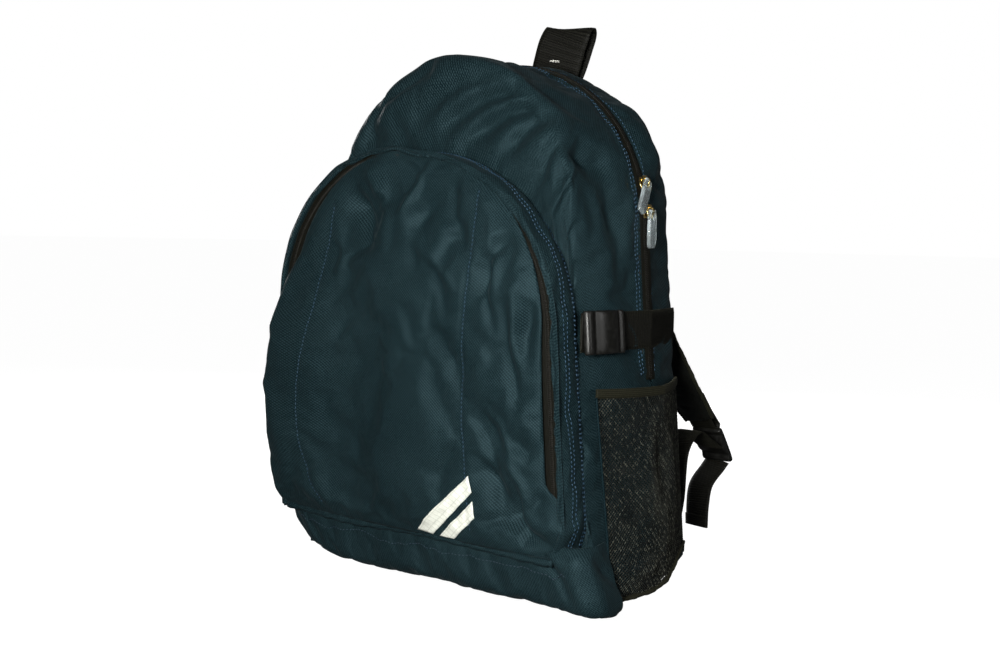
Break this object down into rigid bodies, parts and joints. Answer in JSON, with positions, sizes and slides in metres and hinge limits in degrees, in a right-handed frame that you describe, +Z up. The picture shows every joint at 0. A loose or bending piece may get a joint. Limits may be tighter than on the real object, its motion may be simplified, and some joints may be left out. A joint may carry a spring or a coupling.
{
  "type": "school backpack",
  "caption": "Arched soft school backpack with a D-shaped zipped front pocket, mesh side pockets, compression straps, haul handle and padded shoulder straps.",
  "frame": {"origin": "on the floor plane, at the middle of the base panel's width, 56 mm behind the front seam", "axes": "+X across the bag to the side that is right in a front view, -Y out of the front pocket, +Y towards the shoulder straps and the wearer, +Z up"},
  "size_m": [0.3342, 0.3032, 0.4639],
  "materials": {
    "navy": "dark navy twill-woven polyester, matt with a soft sheen",
    "black_web": "black ribbed polypropylene webbing and padded cloth",
    "mesh": "black open knitted mesh",
    "zip_tape": "dark brown zip tape and nylon coil",
    "foam": "closed-cell foam sheet",
    "lining": "thin lining cloth",
    "reflective": "plain silver reflective tape",
    "black_plastic": "moulded black acetal",
    "brass": "polished brass plating",
    "clear_plastic": "clear moulded plastic"
  },
  "bodies": {
    "bag_back": {"back_panel": "navy", "back_foam": "foam", "back_lining": "lining", "base_panel": "navy", "rear_gusset": "navy", "side_gusset_left": "navy", "side_gusset_right": "navy", "mesh_pocket_left": "mesh", "mesh_pocket_right": "mesh", "mesh_elastic_left": "black_web", "mesh_elastic_right": "black_web", "zip_tape_rear": "zip_tape", "zip_coil_rear": "zip_tape", "side_strap_left": "black_web", "side_strap_right": "black_web", "strap_yoke": "navy", "lower_anchor_left": "black_web", "lower_anchor_right": "black_web"},
    "bag_front": {"front_panel": "navy", "front_gusset": "navy", "boot_band": "navy", "zip_tape_front": "zip_tape", "zip_coil_front": "zip_tape", "side_tab_left": "black_web", "side_tab_right": "black_web", "pocket_gusset": "navy", "pocket_flap": "navy", "pocket_zip_tape_outer": "zip_tape"},
    "pocket_front": {"pocket_panel_left": "navy", "pocket_panel_centre": "navy", "pocket_panel_right": "navy", "pocket_base": "navy", "pocket_zip_tape_inner": "zip_tape", "reflective_bar_upper": "reflective", "reflective_bar_lower": "reflective"},
    "main_slider_upper": {"zip_slider_upper": "brass"},
    "main_pull_upper": {"zip_pull_upper": "clear_plastic"},
    "main_slider_lower": {"zip_slider_lower": "brass"},
    "main_pull_lower": {"zip_pull_lower": "clear_plastic"},
    "pocket_slider_body": {"pocket_slider": "brass"},
    "pocket_pull_body": {"pocket_pull": "clear_plastic"},
    "handle": {"haul_handle": "black_web"},
    "shoulder_strap_right": {"shoulder_pad_right": "black_web", "strap_tab_right": "black_web", "lower_webbing_right": "black_web", "strap_tail_right": "black_web"},
    "shoulder_lock_right": {"strap_lock_right": "black_plastic"},
    "compression_lock_right": {"side_lock_right": "black_plastic"},
    "shoulder_strap_left": {"shoulder_pad_left": "black_web", "strap_tab_left": "black_web", "lower_webbing_left": "black_web", "strap_tail_left": "black_web"},
    "shoulder_lock_left": {"strap_lock_left": "black_plastic"},
    "compression_lock_left": {"side_lock_left": "black_plastic"}
  },
  "joints": [
    {"name": "front_lean", "type": "hinge", "parent": "bag_back", "child": "bag_front", "pos_m": [0, -0.056, 0.0034], "axis": [1, 0, 0], "range_deg": [0, 15], "deforming": ["side_strap_right", "side_strap_left"]},
    {"name": "pocket_open", "type": "hinge", "parent": "bag_front", "child": "pocket_front", "pos_m": [0, -0.0598, 0.0365], "axis": [1, 0, 0], "range_deg": [0, 75]},
    {"name": "upper_slider_travel", "type": "hinge", "parent": "bag_back", "child": "main_slider_upper", "pos_m": [0, 0.022, 0.287], "axis": [0, -1, 0], "range_deg": [0, 155]},
    {"name": "upper_pull_swing", "type": "hinge", "parent": "main_slider_upper", "child": "main_pull_upper", "pos_m": [0.13896, 0.022, 0.32554], "axis": [0, -0.848, 0.5299], "range_deg": [0, 140]},
    {"name": "lower_slider_travel", "type": "slide", "parent": "bag_back", "child": "main_slider_lower", "axis": [0.0799, 0, -0.9968], "range_m": [0, 0.062]},
    {"name": "lower_pull_swing", "type": "hinge", "parent": "main_slider_lower", "child": "main_pull_lower", "pos_m": [0.14341, 0.022, 0.30207], "axis": [0, -1, 0], "range_deg": [0, 140]},
    {"name": "pocket_slider_travel", "type": "slide", "parent": "pocket_front", "child": "pocket_slider_body", "axis": [0.0782, 0, 0.9969], "range_m": [-0.02, 0.1]},
    {"name": "pocket_pull_swing", "type": "hinge", "parent": "pocket_slider_body", "child": "pocket_pull_body", "pos_m": [-0.13736, -0.09535, 0.1], "axis": [-1, 0, 0], "range_deg": [0, 140]},
    {"name": "handle_swing", "type": "hinge", "parent": "bag_back", "child": "handle", "pos_m": [0, 0.08, 0.422], "axis": [1, 0, 0], "range_deg": [-60, 15]},
    {"name": "strap_swing_right", "type": "hinge", "parent": "bag_back", "child": "shoulder_strap_right", "pos_m": [0.046, 0.09, 0.358], "axis": [0.2397, -0.0105, -0.9708], "range_deg": [-12, 12]},
    {"name": "shoulder_lock_tilt_right", "type": "hinge", "parent": "shoulder_strap_right", "child": "shoulder_lock_right", "pos_m": [0.112, 0.176, 0.112], "axis": [1, 0, 0], "range_deg": [0, 25]},
    {"name": "compression_lock_tilt_right", "type": "hinge", "parent": "bag_front", "child": "compression_lock_right", "pos_m": [0.14007, -0.053, 0.209], "axis": [0, 0, -1], "range_deg": [0, 25]},
    {"name": "strap_swing_left", "type": "hinge", "parent": "bag_back", "child": "shoulder_strap_left", "pos_m": [-0.046, 0.09, 0.358], "axis": [-0.2397, -0.0105, -0.9708], "range_deg": [-12, 12]},
    {"name": "shoulder_lock_tilt_left", "type": "hinge", "parent": "shoulder_strap_left", "child": "shoulder_lock_left", "pos_m": [-0.112, 0.176, 0.112], "axis": [1, 0, 0], "range_deg": [0, 25]},
    {"name": "compression_lock_tilt_left", "type": "hinge", "parent": "bag_front", "child": "compression_lock_left", "pos_m": [-0.14007, -0.053, 0.209], "axis": [0, 0, 1], "range_deg": [0, 25]}
  ]
}
